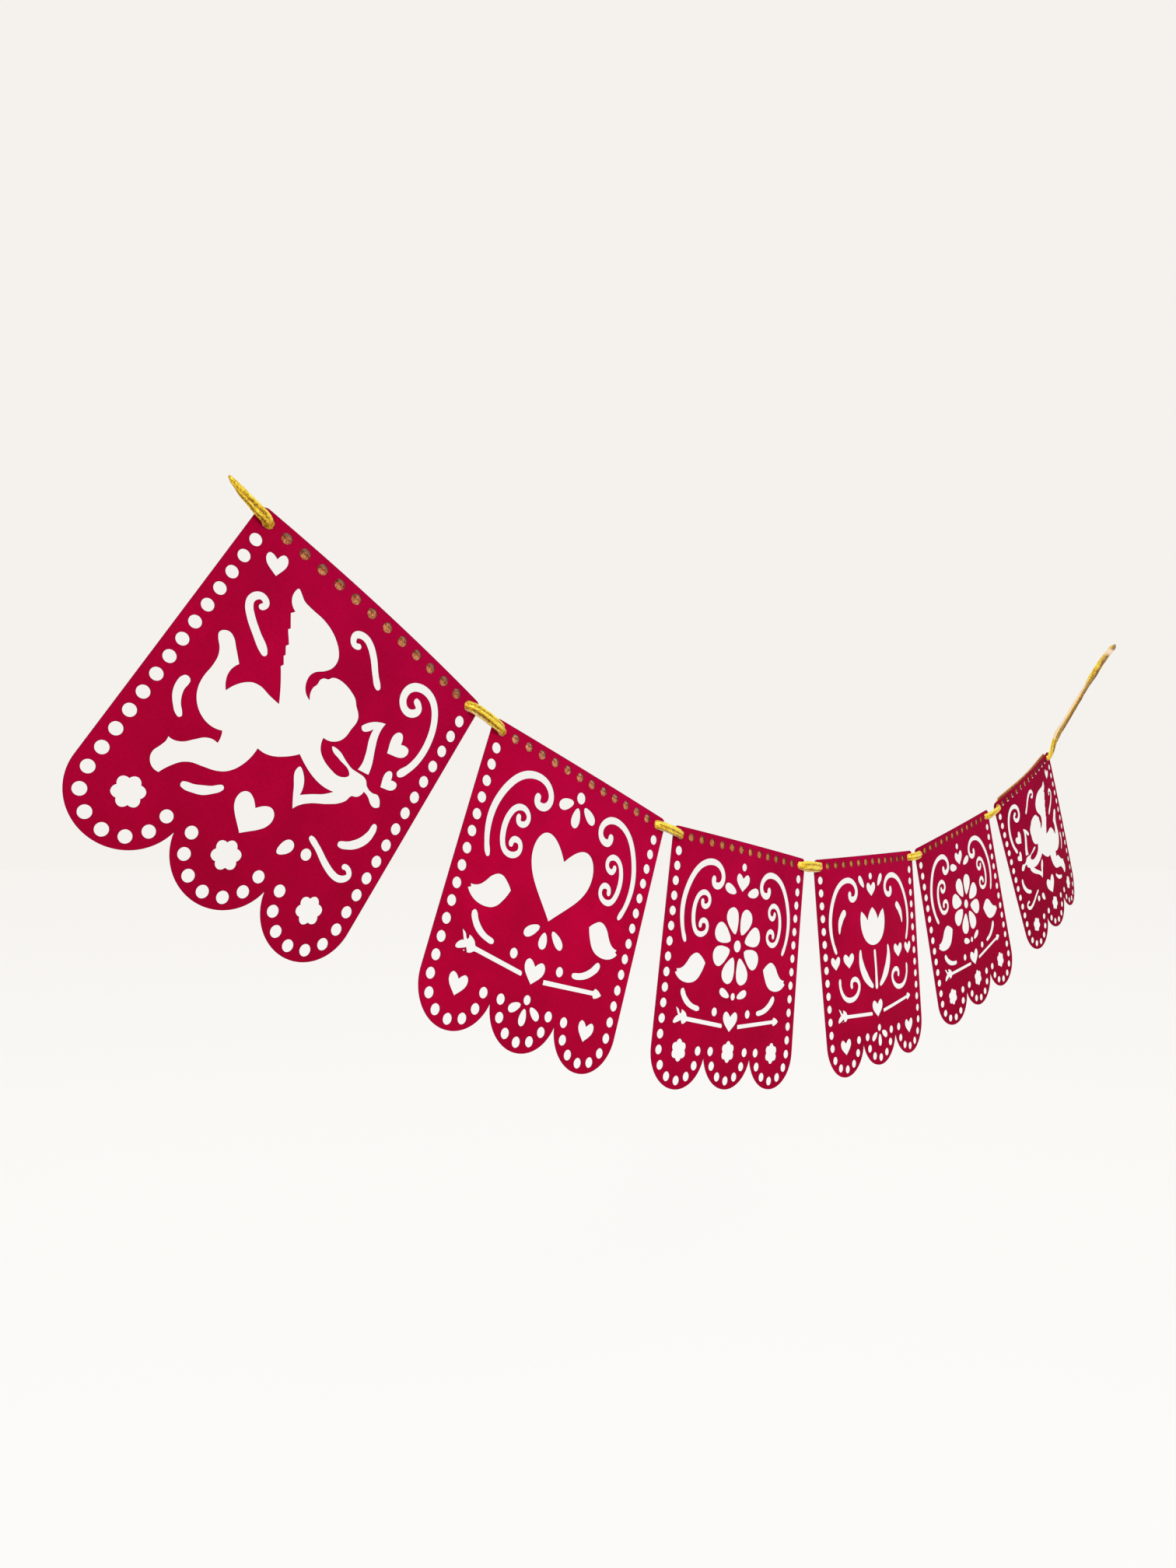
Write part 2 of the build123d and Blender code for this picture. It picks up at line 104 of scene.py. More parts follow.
def new_material(name):
    material = bpy.data.materials.new(name)
    material.use_nodes = True
    tree = material.node_tree
    tree.nodes.clear()
    out = tree.nodes.new("ShaderNodeOutputMaterial")
    shader = tree.nodes.new("ShaderNodeBsdfPrincipled")
    tree.links.new(shader.outputs["BSDF"], out.inputs["Surface"])
    return material, tree, shader, out


def node(tree, kind, values=None, **settings):
    made = tree.nodes.new(kind)
    for key, value in settings.items():
        setattr(made, key, value)
    for key, value in (values or {}).items():
        made.inputs[key].default_value = value
    return made


def texture(tree, kind, where, values, **settings):
    """A texture node that reads its place from another node's output."""
    made = node(tree, kind, values, **settings)
    tree.links.new(where, made.inputs["Vector"])
    return made


def attribute(tree, name):
    return node(tree, "ShaderNodeAttribute", attribute_name=name).outputs["Fac"]


def math_node(tree, operation, *values, clamp=False):
    made = node(tree, "ShaderNodeMath", operation=operation, use_clamp=clamp)
    for socket, value in zip(made.inputs, values):
        if isinstance(value, (int, float)):
            socket.default_value = value
        else:
            tree.links.new(value, socket)
    return made.outputs[0]


def ramp(tree, source, stops):
    made = tree.nodes.new("ShaderNodeValToRGB")
    tree.links.new(source, made.inputs["Fac"])
    points = made.color_ramp.elements
    for i, (place, colour) in enumerate(stops):
        point = points[i] if i < 2 else points.new(place)
        point.position = place
        point.color = (*colour, 1)
    return made.outputs["Color"]


def mix(tree, share, a, b, blend="MIX"):
    made = node(tree, "ShaderNodeMix", data_type="RGBA", blend_type=blend)
    for socket, value in ((made.inputs[0], share), (made.inputs[6], a), (made.inputs[7], b)):
        if isinstance(value, (int, float)):
            socket.default_value = value
        elif isinstance(value, tuple):
            socket.default_value = (*value, 1)
        else:
            tree.links.new(value, socket)
    return made.outputs[2]


def linear(r, g, b):
    """Linear colour from the 0 to 255 numbers of a screen."""
    return tuple(((c / 255 + 0.055) / 1.055) ** 2.4 if c > 10 else c / 255 / 12.92 for c in (r, g, b))


# Card outlines

# Points closer than this are one, in metres
SAME_PLACE = 1e-6
# A face is on the card's front if its direction agrees with the front's by this much
SAME_WAY = 0.999
# An outline has a corner where it turns by more than the first angle, and by more than the second too if
# a point beside it turns the same way by more than a share of that turn
CORNER_TURN = math.radians(48)
SURE_CORNER = math.radians(80)
NEIGHBOUR_TURN = 0.5
# A longer run than this is straight, in millimetres
LONG_RUN = 12.0
# Steps along a round stretch, in millimetres and in angle, and along a straight one
EDGE_STEP = 0.75
EDGE_TURN = math.radians(12)
RUN_STEP = 2.5
# In radians: the least bend of a round stretch, and the most bend that a curve's handles allow for
STRAIGHT_BEND = 0.02
MOST_BEND = 2.6


def front_of(thing):
    """The outline loops of a card's front in its own millimetres, and the card's place and directions."""
    bm = bmesh.new()
    bm.from_mesh(thing.data)
    bmesh.ops.remove_doubles(bm, verts=bm.verts, dist=SAME_PLACE)
    bmesh.ops.triangulate(bm, faces=bm.faces)
    bm.normal_update()
    # The front is the largest flat side that looks towards the viewer
    sums = {}
    for face in bm.faces:
        if face.normal.y < -0.5:
            key = tuple(round(c, 2) for c in face.normal)
            area, total = sums.get(key, (0, Vector()))
            sums[key] = (area + face.calc_area(), total + face.normal * face.calc_area())
    normal = max(sums.values(), key=lambda entry: entry[0])[1].normalized()
    front = [face for face in bm.faces if face.normal.dot(normal) > SAME_WAY]
    follow = {}
    longest = (0, None, None)
    for face in front:
        for loop in face.loops:
            others = [f for f in loop.edge.link_faces if f is not face]
            if others and others[0].normal.dot(normal) > SAME_WAY:
                continue
            a, b = loop.vert, loop.link_loop_next.vert
            follow[a.index] = b.index
            length = (a.co - b.co).length
            if length > longest[0]:
                longest = (length, a.co.copy(), b.co.copy())
    # The longest straight edge is the card's top
    bm.verts.ensure_lookup_table()
    right = (longest[2] - longest[1]).normalized()
    if right.x < 0:
        right = -right
    up = normal.cross(right)
    start = (longest[1] + longest[2]) / 2 - up * (TOP_MARGIN * MM)
    loops = []
    left = dict(follow)
    while left:
        first = here = next(iter(left))
        ring = []
        while here in left:
            ring.append(here)
            here = left.pop(here)
        assert here == first
        flat = [bm.verts[i].co - start for i in ring]
        loops.append([Vector((p.dot(right) / MM, p.dot(up) / MM)) for p in flat])
    bm.free()
    return loops, start, right, up, normal


def turn_between(a, b):
    return math.atan2(a.x * b.y - a.y * b.x, a.dot(b))


def corners_of(ways):
    """Which points of a loop are corners, from the directions of the runs that follow them."""
    count = len(ways)
    turns = [turn_between(ways[i - 1], ways[i]) for i in range(count)]
    corners = []
    for i, turn in enumerate(turns):
        same_side = (t for t in (turns[i - 1], turns[(i + 1) % count]) if t * turn > 0)
        beside = max(same_side, key=abs, default=0)
        gentle = abs(turn) < SURE_CORNER and abs(beside) > NEIGHBOUR_TURN * abs(turn)
        corners.append(abs(turn) > CORNER_TURN and not gentle)
    return corners


def tangents_of(ways, sizes):
    """The direction of the smooth line at each point of a loop. Beside a long run it follows that run."""
    tangents = []
    for i, way in enumerate(ways):
        before, after = sizes[i - 1], sizes[i]
        if before > LONG_RUN and before >= after:
            way = ways[i - 1]
        elif after <= LONG_RUN:
            way = (ways[i - 1] * after + ways[i] * before).normalized()
        tangents.append(way)
    return tangents


def smoothed(points):
    """The smooth line through a loop's points, with its corners kept."""
    count = len(points)
    runs = [points[(i + 1) % count] - points[i] for i in range(count)]
    sizes = [run.length for run in runs]
    ways = [run / size for run, size in zip(runs, sizes)]
    corner = corners_of(ways)
    tangents = tangents_of(ways, sizes)
    line = []
    for i in range(count):
        j = (i + 1) % count
        size, way = sizes[i], ways[i]
        out_way, in_way = tangents[i], tangents[j]
        if corner[i] and corner[j] or size > LONG_RUN:
            out_way = in_way = way
        elif corner[i]:
            out_way = (2 * in_way.dot(way) * way - in_way).normalized()
        elif corner[j]:
            in_way = (2 * out_way.dot(way) * way - out_way).normalized()
        bend = abs(turn_between(out_way, way)) + abs(turn_between(way, in_way))
        handle = size / (3 * math.cos(min(bend, MOST_BEND) / 4) ** 2)
        step = EDGE_STEP if bend > STRAIGHT_BEND else RUN_STEP
        parts = max(1, math.ceil(bend / EDGE_TURN), math.ceil(size / step))
        a, d = points[i], points[j]
        b, c = a + out_way * handle, d - in_way * handle
        for k in range(parts):
            t = k / parts
            s = 1 - t
            line.append(a * s ** 3 + b * (3 * s * s * t) + c * (3 * s * t * t) + d * t ** 3)
    return line


# Card sheets

# Distance of the inner row of points from the outlines, and the spacing of the points inside, in millimetres
RIM = 0.4
GRID = 3.0
# Height of a grid row, and how near to other points a rim point or a grid point may lie, as shares of these
GRID_ROW = 0.866
RIM_CLEARANCE = 0.8
GRID_CLEARANCE = 0.5
# Millimetres across the unit square of the flat map, and the card's place in it
MAP_SIZE = 160
MAP_PLACE = (0.5, 0.97)


def inset(points, depth):
    """Points a little inside the card's edge, which lies on the left of each run."""
    moved = []
    count = len(points)
    for i in range(count):
        before = (points[i] - points[i - 1]).normalized()
        after = (points[(i + 1) % count] - points[i]).normalized()
        way = before + after
        if way.length < 0.5:
            continue
        way.normalize()
        side = Vector((-way.y, way.x))
        moved.append(points[i] + side * depth / max(0.5, way.dot(after)))
    return moved


def clear_of(spots, edges, distance):
    """The spots that lie at least a distance from every edge point."""
    cells = {}
    for p in edges:
        cells.setdefault((int(p.x // distance), int(p.y // distance)), []).append(p)
    kept = []
    for p in spots:
        cx, cy = int(p.x // distance), int(p.y // distance)
        around = ((ix, iy) for ix in (cx - 1, cx, cx + 1) for iy in (cy - 1, cy, cy + 1))
        near = (q for cell in around for q in cells.get(cell, ()))
        if all((p - q).length_squared > distance * distance for q in near):
            kept.append(p)
    return kept


def inside(spots, loops):
    """Whether each point lies in the sheet, by counting the edges to its right."""
    starts = np.array([p for points in loops for p in points])
    ends = np.array([p for points in loops for p in points[1:] + points[:1]])
    rise = ends[:, 1] - starts[:, 1]
    slope = (ends[:, 0] - starts[:, 0]) / np.where(np.abs(rise) < 1e-12, 1, rise)
    found = []
    for x, y in spots:
        crossed = (starts[:, 1] > y) != (ends[:, 1] > y)
        to_right = x < starts[:, 0] + (y - starts[:, 1]) * slope
        found.append(np.count_nonzero(crossed & to_right) % 2 == 1)
    return found


def bent(p, bow, left, right):
    """How far a point of a card stands towards the viewer from the card's plane, in millimetres."""
    low = min(1.0, max(0.0, -p.y / BEND_DROP)) ** 1.5
    side = (p.x / HALF_WIDTH) ** 2
    return bow * (1 - (p.x / HALF_SPAN) ** 2) + low * side * (left if p.x < 0 else right)


def sheet_points(lines):
    """The points of a flat sheet: those of its outlines, a rim just inside them and a grid."""
    spots = [p for points in lines for p in points]
    rim = [q for points in lines for q in inset(points, RIM)]
    spots += clear_of(rim, spots, RIM * RIM_CLEARANCE)
    left, right = min(p.x for p in spots), max(p.x for p in spots)
    low, high = min(p.y for p in spots), max(p.y for p in spots)
    grid = []
    for j in range(int((high - low) / (GRID * GRID_ROW)) + 1):
        y = low + j * GRID * GRID_ROW
        for i in range(int((right - left) / GRID) + 2):
            grid.append(Vector((left + (i + 0.5 * (j % 2)) * GRID, y)))
    grid = clear_of(grid, spots, GRID * GRID_CLEARANCE)
    return spots + [p for p, kept in zip(grid, inside(grid, lines)) if kept]


def sheet_faces(points, faces, border, lines):
    """The triangles of the sheet. One across a cut-out has all its corners on the border."""
    unsure = [f for f in faces if max(f) < border]
    middles = [(points[f[0]] + points[f[1]] + points[f[2]]) / 3 for f in unsure]
    cut_out = {tuple(f) for f, kept in zip(unsure, inside(middles, lines)) if not kept}
    return [tuple(f) for f in faces if tuple(f) not in cut_out]


def card_mesh(name, front, bends):
    """A bent sheet with a front, a back and cut walls, which have the second material."""
    loops, start, right, up, normal = front
    lines = [smoothed(points) for points in loops]
    edges = []
    border = 0
    for points in lines:
        size = len(points)
        edges += [(border + i, border + (i + 1) % size) for i in range(size)]
        border += size
    spots = sheet_points(lines)
    points, _, faces, _, _, _ = geometry.delaunay_2d_cdt(spots, edges, [], 1, 1e-5)
    assert len(points) == len(spots), name
    faces = sheet_faces(points, faces, border, lines)
    count = len(points)
    verts = []
    for side in (0, 1):
        for p in points:
            forward = bent(p, *bends) - side * CARD_THICKNESS
            verts.append(start + right * (p.x * MM) + up * (p.y * MM) + normal * (forward * MM))
    sheet = faces + [tuple(count + i for i in reversed(f)) for f in faces]
    walls = [(b, a, count + a, count + b) for a, b in edges]
    mesh = bpy.data.meshes.new(name)
    mesh.from_pydata([tuple(v) for v in verts], [], sheet + walls)
    mesh.update()
    for polygon in mesh.polygons:
        polygon.use_smooth = True
    sharp = mesh.attributes.new("sharp_edge", "BOOLEAN", "EDGE")
    rimmed = {tuple(sorted(e)) for a, b in edges for e in ((a, b), (count + a, count + b))}
    sharp.data.foreach_set("value", [tuple(sorted(e.vertices)) in rimmed for e in mesh.edges])
    # Marks the outline points, where the paper is painted with shade beside its cuts
    edge = mesh.attributes.new("edge", "FLOAT", "POINT")
    edge.data.foreach_set("value", [1.0 if i < border else 0.0 for i in range(count)] * 2)
    layer = mesh.uv_layers.new(name="flat")
    flat = [(p.x / MAP_SIZE + MAP_PLACE[0], p.y / MAP_SIZE + MAP_PLACE[1]) for p in points] * 2
    for loop in mesh.loops:
        layer.data[loop.index].uv = flat[loop.vertex_index]
    slots = [0] * len(sheet) + [1] * len(walls)
    mesh.polygons.foreach_set("material_index", slots)
    thing = bpy.data.objects.new("paper_" + name, mesh)
    bpy.context.scene.collection.objects.link(thing)
    return thing


# Paper

WHITE = (1, 1, 1)
BLACK = (0, 0, 0)
# The stops of the mottling and of the fibres multiply the paper's colour
MOTTLING = ((0.3, (0.88, 0.9, 0.86)), (0.7, (1.1, 1.0, 1.14)))
FIBRES = ((0.25, (0.86, 0.8, 0.84)), (0.75, (1.12, 1.2, 1.16)))
# How far apart the cards lie in the pattern of the paper
PATTERN_STEP = Vector((3.7, 1.3, 0))
# The painted shade that the front and back turn towards beside a cut, and how far
SHADE_BESIDE_CUT = linear(96, 12, 38)
SHADE_BESIDE_CUT_SHARE = 0.35
# Roughness where the grain is smoothest and roughest, and the grain's relief in metres
PAPER_ROUGHNESS = (0.74, 0.9)
PAPER_RELIEF = 0.00012
PAPER_GLOSS = 0.03
CUT_DARK = linear(92, 40, 48)
CUT_PALE = linear(140, 72, 78)
CUT_ROUGHNESS = 0.9
CUT_GLOSS = 0.2


def paper(name, number, top, middle, low, side):
    """Felt-like raspberry paper, a little darker to one side, mottled and slightly rough, with painted shade
    beside its cuts.
    """
    material, tree, shader, _ = new_material(name)
    link = tree.links.new
    where = node(tree, "ShaderNodeUVMap", uv_map="flat").outputs["UV"]
    apart = node(tree, "ShaderNodeSeparateXYZ")
    link(where, apart.inputs[0])
    base = ramp(tree, apart.outputs["Y"], [(0.04, low), (0.55, middle), (0.98, top)])
    base = mix(tree, ramp(tree, apart.outputs["X"], [(0.0, WHITE), (0.35, BLACK)]), base, side)
    shift = texture(tree, "ShaderNodeMapping", where, {"Location": number * PATTERN_STEP})
    place = shift.outputs["Vector"]
    noise_node = "ShaderNodeTexNoise"
    cloud = texture(tree, noise_node, place, {"Scale": 4.5, "Detail": 3.0, "Roughness": 0.6})
    base = mix(tree, 1.0, base, ramp(tree, cloud.outputs["Fac"], MOTTLING), "MULTIPLY")
    fibre = texture(tree, noise_node, place, {"Scale": 110.0, "Detail": 4.0, "Roughness": 0.7})
    base = mix(tree, 1.0, base, ramp(tree, fibre.outputs["Fac"], FIBRES), "MULTIPLY")
    # Painted shade: the front and back darken towards each cut
    shade_beside_cut = math_node(tree, "MULTIPLY", attribute(tree, "edge"), SHADE_BESIDE_CUT_SHARE)
    base = mix(tree, shade_beside_cut, base, SHADE_BESIDE_CUT)
    link(base, shader.inputs["Base Color"])
    fine = texture(tree, noise_node, place, {"Scale": 260.0, "Detail": 3.0, "Roughness": 0.65})
    smooth, rough = PAPER_ROUGHNESS
    roughness = math_node(tree, "MULTIPLY_ADD", fine.outputs["Fac"], rough - smooth, smooth)
    link(roughness, shader.inputs["Roughness"])
    bump = node(tree, "ShaderNodeBump", {"Strength": 0.35, "Distance": PAPER_RELIEF})
    link(fine.outputs["Fac"], bump.inputs["Height"])
    link(bump.outputs["Normal"], shader.inputs["Normal"])
    shader.inputs["Specular IOR Level"].default_value = PAPER_GLOSS
    return material


def paper_edge():
    """The cut edge, where the paper's grey-brown middle shows between its two dyed faces."""
    material, tree, shader, _ = new_material("paper_edge")
    where = node(tree, "ShaderNodeTexCoord").outputs["Object"]
    grain = texture(tree, "ShaderNodeTexNoise", where, {"Scale": 900.0, "Detail": 2.0})
    colour = ramp(tree, grain.outputs["Fac"], [(0.35, CUT_DARK), (0.65, CUT_PALE)])
    tree.links.new(colour, shader.inputs["Base Color"])
    shader.inputs["Roughness"].default_value = CUT_ROUGHNESS
    shader.inputs["Specular IOR Level"].default_value = CUT_GLOSS
    return material


# Ribbon route

# The ribbon's control points at its two ends, in metres. Those between them follow from the cards
LEFT_POINTS = ((0, 0, 0), (0.0132, -0.0020, -0.0108))
RIGHT_POINTS = (
    (0.8805, -0.0015, -0.0355), (0.9140, 0.0010, -0.0180), (0.9485, -0.0010, 0.0100),
    (0.9970, 0.0010, 0.0400), (1.0220, -0.0010, 0.0605), (1.0690, 0, 0.0850),
)
# In millimetres: how far the ribbon stands before or behind a card at its end holes, and before the gaps,
# and how far its control points lie from a hole, from a corner behind a card and from one before a gap
CROSSING = 2.3
BRIDGE_OUT = 2.9
NEAR_HOLE = 2.0
NEAR_CORNER = 8.0
BRIDGE_CORNER = 6.0
# A control point pulls the line only part of the way, so it stands this many times the card's bow away
BOW_PULL = 4 / 3
# Points of the ribbon's path for each of its control points
RINGS_PER_POINT = 14


def ribbon_route(fronts):
    """The ribbon's control points and the places where it passes through the cards' end holes, in metres."""
    route = [Vector(p) for p in LEFT_POINTS]
    holes = []
    for name, (_, start, right, _, _) in fronts.items():
        reach = right * (HALF_SPAN * MM)
        first, last = start - reach, start + reach
        middle = CROSSING - BOW_PULL * CARDS[name][0]
        stations = [
            (first, -NEAR_HOLE, -CROSSING), (first, NEAR_HOLE, CROSSING), (first, NEAR_CORNER, CROSSING),
            (start, 0, middle), (last, -NEAR_CORNER, CROSSING), (last, -NEAR_HOLE, CROSSING),
            (last, NEAR_HOLE, -CROSSING),
        ]
        points = [Vector((base.x + right.x * along * MM, back * MM, base.z + right.z * along * MM))
                  for base, along, back in stations]
        if holes:
            gap = points[0] - route[-1]
            step = gap * min(1 / 3, BRIDGE_CORNER * MM / gap.length)
            out = Vector((0, (CROSSING - BRIDGE_OUT) * MM, 0))
            route += [route[-1] + step + out, points[0] - step + out]
        route += points
        holes += [Vector((first.x, 0, first.z)), Vector((last.x, 0, last.z))]
    return route + [Vector(p) for p in RIGHT_POINTS], holes


def ribbon_path(route):
    """Closely spaced points on the smooth line of the route."""
    curve = bpy.data.curves.new("route", "CURVE")
    curve.dimensions = "3D"
    curve.resolution_u = RINGS_PER_POINT
    spline = curve.splines.new("NURBS")
    spline.points.add(len(route) - 1)
    for point, place in zip(spline.points, route):
        point.co = (*place, 1)
    spline.order_u = 3
    spline.use_endpoint_u = True
    holder = bpy.data.objects.new("route", curve)
    mesh = bpy.data.meshes.new_from_object(holder)
    points = [v.co.copy() for v in mesh.vertices]
    bpy.data.objects.remove(holder)
    bpy.data.curves.remove(curve)
    bpy.data.meshes.remove(mesh)
    return points


# Ribbon section

# Sections as half width, half depth and upward shift in millimetres, share of the folds, and roll in degrees
AT_HOLE = (2.65, 2.0, 0, 0.35, 0)
BEHIND = (
    (4.7, 0.5, 0.7, 0.05, 0), (4.7, 0.5, 0.6, 0.05, 0), (4.5, 0.5, 0.3, 0.05, 0), (4.5, 0.5, 0.1, 0.05, 0),
    (4.5, 0.5, 0.2, 0.05, 0), (4.9, 0.5, 2.2, 0.05, 0),
)
# Half width and half depth of each gathered stretch before a gap. Along the gap, as a share of it, the size
# changes by a factor, and so do the folds and the roll
BRIDGES = ((2.6, 2.0), (2.5, 1.8), (3.4, 1.8), (2.8, 1.7), (2.4, 1.6))
BRIDGE_KEYS = ((0.2, 1.0, 1.0, -6), (0.55, 1.0, 1.0, 4), (0.84, 0.95, 0.7, 8))
# Sections at shares of the length of the left end and of the loose right end
LEFT_END = (
    (0.0, (0.5, 0.3, 1.2, 0.2, 20)), (0.12, (1.3, 0.8, 0.7, 0.4, 15)), (0.35, (1.9, 1.3, 0.3, 0.9, 8)),
    (0.75, (2.5, 1.7, 0, 1.0, 0)),
)
TAIL = (
    (0.02, (2.6, 1.8, 0, 0.7, 0)), (0.07, (2.5, 1.2, 0, 0.8, -30)), (0.15, (2.9, 0.7, 0, 0.5, -50)),
    (0.28, (2.7, 0.55, 0, 0.4, -66)), (0.42, (2.8, 0.5, 0, 0.4, -45)), (0.55, (2.4, 0.6, 0, 0.4, -62)),
    (0.68, (3.3, 0.6, 0, 0.5, -50)), (0.78, (3.2, 0.6, 0, 0.5, -62)), (0.88, (3.0, 0.4, 0, 0.3, -52)),
    (0.96, (3.2, 0.5, 0, 0.3, -55)), (1.0, (0.6, 0.3, 0, 0.2, -55)),
)
# From an end hole, the ribbon is flat behind its card after 7 mm and shows its coppery side after 6 mm
FLAT_AFTER = 7
COPPER_AFTER = 6
# How far the flat stretches stand forward of the route, against the backs of the cards, in millimetres
AGAINST_CARD = 1.2
RIBBON_SIDES = 64
# The lengthwise folds: their number, the share by which they change the section, and the rise of their
# crests from their hollows, the hollows' depth and the power that shapes the crests
FOLDS = 5
FOLD_HEIGHT = 0.17
FOLD_RISE = 2.2
HOLLOW_DEPTH = 1.3
CREST_POWER = 0.8
# How far they turn round the ribbon, in radians: in each millimetre, in long waves and in short ones. Then
# how much the creases change their height
FOLD_TWIST = 0.012
FOLD_DRIFT = 0.7
FOLD_WANDER = 0.35
CREASES = 0.5
# The lengths of the long waves, the short ones and the creases, in millimetres
DRIFT_LENGTH = 23
WANDER_LENGTH = 9
CREASE_LENGTH = 4
# Millimetres of ribbon to one unit of its map
MAP_LENGTH = 10


def smooth_step(t):
    t = min(1.0, max(0.0, t))
    return t * t * (3 - 2 * t)


def at_keys(keys, s):
    """Values at s between keys (s, values), eased."""
    if s <= keys[0][0]:
        return keys[0][1]
    for (s0, a), (s1, b) in zip(keys, keys[1:]):
        if s <= s1:
            t = smooth_step((s - s0) / (s1 - s0))
            return tuple(x + (y - x) * t for x, y in zip(a, b))
    return keys[-1][1]


def ribbon_keys(holes, total):
    """The ribbon's section along its length. holes are the places where it passes through the cards."""
    keys = [(share * holes[0], section) for share, section in LEFT_END]
    for card, behind in enumerate(BEHIND):
        first, last = holes[2 * card], holes[2 * card + 1]
        keys += [(first, AT_HOLE), (first + FLAT_AFTER, behind), (last - FLAT_AFTER, behind), (last, AT_HOLE)]
        if card < len(BRIDGES):
            gap = holes[2 * card + 2] - last
            wide, deep = BRIDGES[card]
            for share, size, folds, roll in BRIDGE_KEYS:
                keys.append((last + share * gap, (size * wide, size * deep, 0, folds, roll)))
    keys += [(holes[-1] + (total - holes[-1]) * share, section) for share, section in TAIL]
    return keys


def behind_share(holes, s):
    """1 on the stretches behind the cards, eased to 0 at their end holes, and the card's place in the row."""
    for card in range(len(BEHIND)):
        first, last = holes[2 * card], holes[2 * card + 1]
        if first <= s <= last:
            return smooth_step(min(s - first, last - s) / COPPER_AFTER), card
    return 0.0, 0


def across(path, i):
    """The directions up and out, towards the viewer, across the ribbon at a point of its path."""
    way = (path[min(i + 1, len(path) - 1)] - path[max(i - 1, 0)]).normalized()
    up = way.cross(Vector((0, 1, 0))).normalized()
    if up.z < 0:
        up = -up
    out = way.cross(up).normalized()
    if out.y > 0:
        out = -out
    return up, out


def fold_wave(a, s):
    """Height of the lengthwise folds at the angle a round the ribbon and s millimetres along it."""
    drift = FOLD_DRIFT * noise.noise(Vector((s / DRIFT_LENGTH, 3.1, 0)))
    wander = FOLD_WANDER * noise.noise(Vector((s / WANDER_LENGTH, 2 * math.cos(a), 2 * math.sin(a))))
    b = a + FOLD_TWIST * s + drift + wander
    wave = FOLD_RISE * abs(math.cos(FOLDS / 2 * b)) ** CREST_POWER - HOLLOW_DEPTH
    return wave + CREASES * noise.noise(Vector((s / CREASE_LENGTH, 3 * math.cos(a) + 7, 3 * math.sin(a))))


# Ribbon tints and painted shading

# A height here is the cosine of the angle round the ribbon, so 1 is its upper edge and -1 its lower one.
# The ribbon counts as flat where its share behind a card is over this
FLAT = 0.9
# For the stretch behind each card: how coppery it is, and the height above which its selvedge is pale. Over
# 1 it isn't pale
COPPER = (1.0, 1.0, 0.9, 0.85, 0.85, 0.85)
SELVEDGE = (0.16, 0.2, 1.5, 1.5, 1.5, 0.84)
# A dark band of this half height runs just below that selvedge
BAND = 0.16
BAND_SHADE = 0.45
# How dark the ribbon is from 0 to 1, then how much painted shade darkens the folds' hollows and how much
# painted light brightens its top
TONE = 0.5
FOLD_SHADE = 0.36
TOP_LIGHT = 0.2
# The loose end is painted darker, with painted shade strongest on its lower side, over this share of its
# length
LOOSE_SHADE_EASE = 0.04
LOOSE_SHADE = 0.3
LOOSE_TOP_LIGHT = 0.25
# It has a painted glint about one place and is pale between two, as shares of its length
GLITTER = 0.74
GLITTER_REACH = 0.04
GLITTER_LIGHT = 0.3
PALE_PATCH = (0.86, 0.94)
PALE_PATCH_EASE = 0.02
# Its selvedge is pale between these shares, and fades towards the second over a tenth of its length
LOOSE_SELVEDGE = (0.1, 0.62)
SELVEDGE_FADE = 0.1
# Paleness of the selvedge of the loose end, of a flat stretch and of a gathered one, whose selvedge is below,
# the heights at which the first and the last begin, and the heights over which they grow
LOOSE_PALE, LOOSE_EDGE, LOOSE_EASE = 0.9, 0.1, 0.3
FLAT_PALE, FLAT_EASE = 0.5, 0.1
GATHERED_PALE, GATHERED_EDGE, GATHERED_EASE = 0.45, 0.86, 0.08


def painted_shading_at(height, wave, folds, loose, behind, card):
    """How dark the ribbon is painted at a height: painted shade in the folds' hollows and on the loose end's
    lower side, painted light on its top and a painted glint on the loose end.
    """
    painted_shading = TONE - FOLD_SHADE * folds * wave - TOP_LIGHT * height
    if loose > 0:
        painted_shading += smooth_step(loose / LOOSE_SHADE_EASE) * (LOOSE_SHADE - LOOSE_TOP_LIGHT * height)
        painted_shading -= GLITTER_LIGHT * smooth_step(1 - abs(loose - GLITTER) / GLITTER_REACH)
    elif behind > FLAT:
        painted_shading = TONE + BAND_SHADE * smooth_step(1 - abs(height - SELVEDGE[card] + BAND) / BAND)
    return painted_shading


def selvedge_at(height, facing, loose, behind, card, started):
    """How pale the selvedge is: along the loose end, above a flat stretch and under a gathered one."""
    if loose > LOOSE_SELVEDGE[0]:
        fade = smooth_step((LOOSE_SELVEDGE[1] - loose) / SELVEDGE_FADE)
        return LOOSE_PALE * smooth_step((height - LOOSE_EDGE) / LOOSE_EASE) * fade
    if behind > FLAT:
        return FLAT_PALE * smooth_step((height - SELVEDGE[card]) / FLAT_EASE) * facing
    if started:
        return GATHERED_PALE * smooth_step((-height - GATHERED_EDGE) / GATHERED_EASE)
    return 0.0


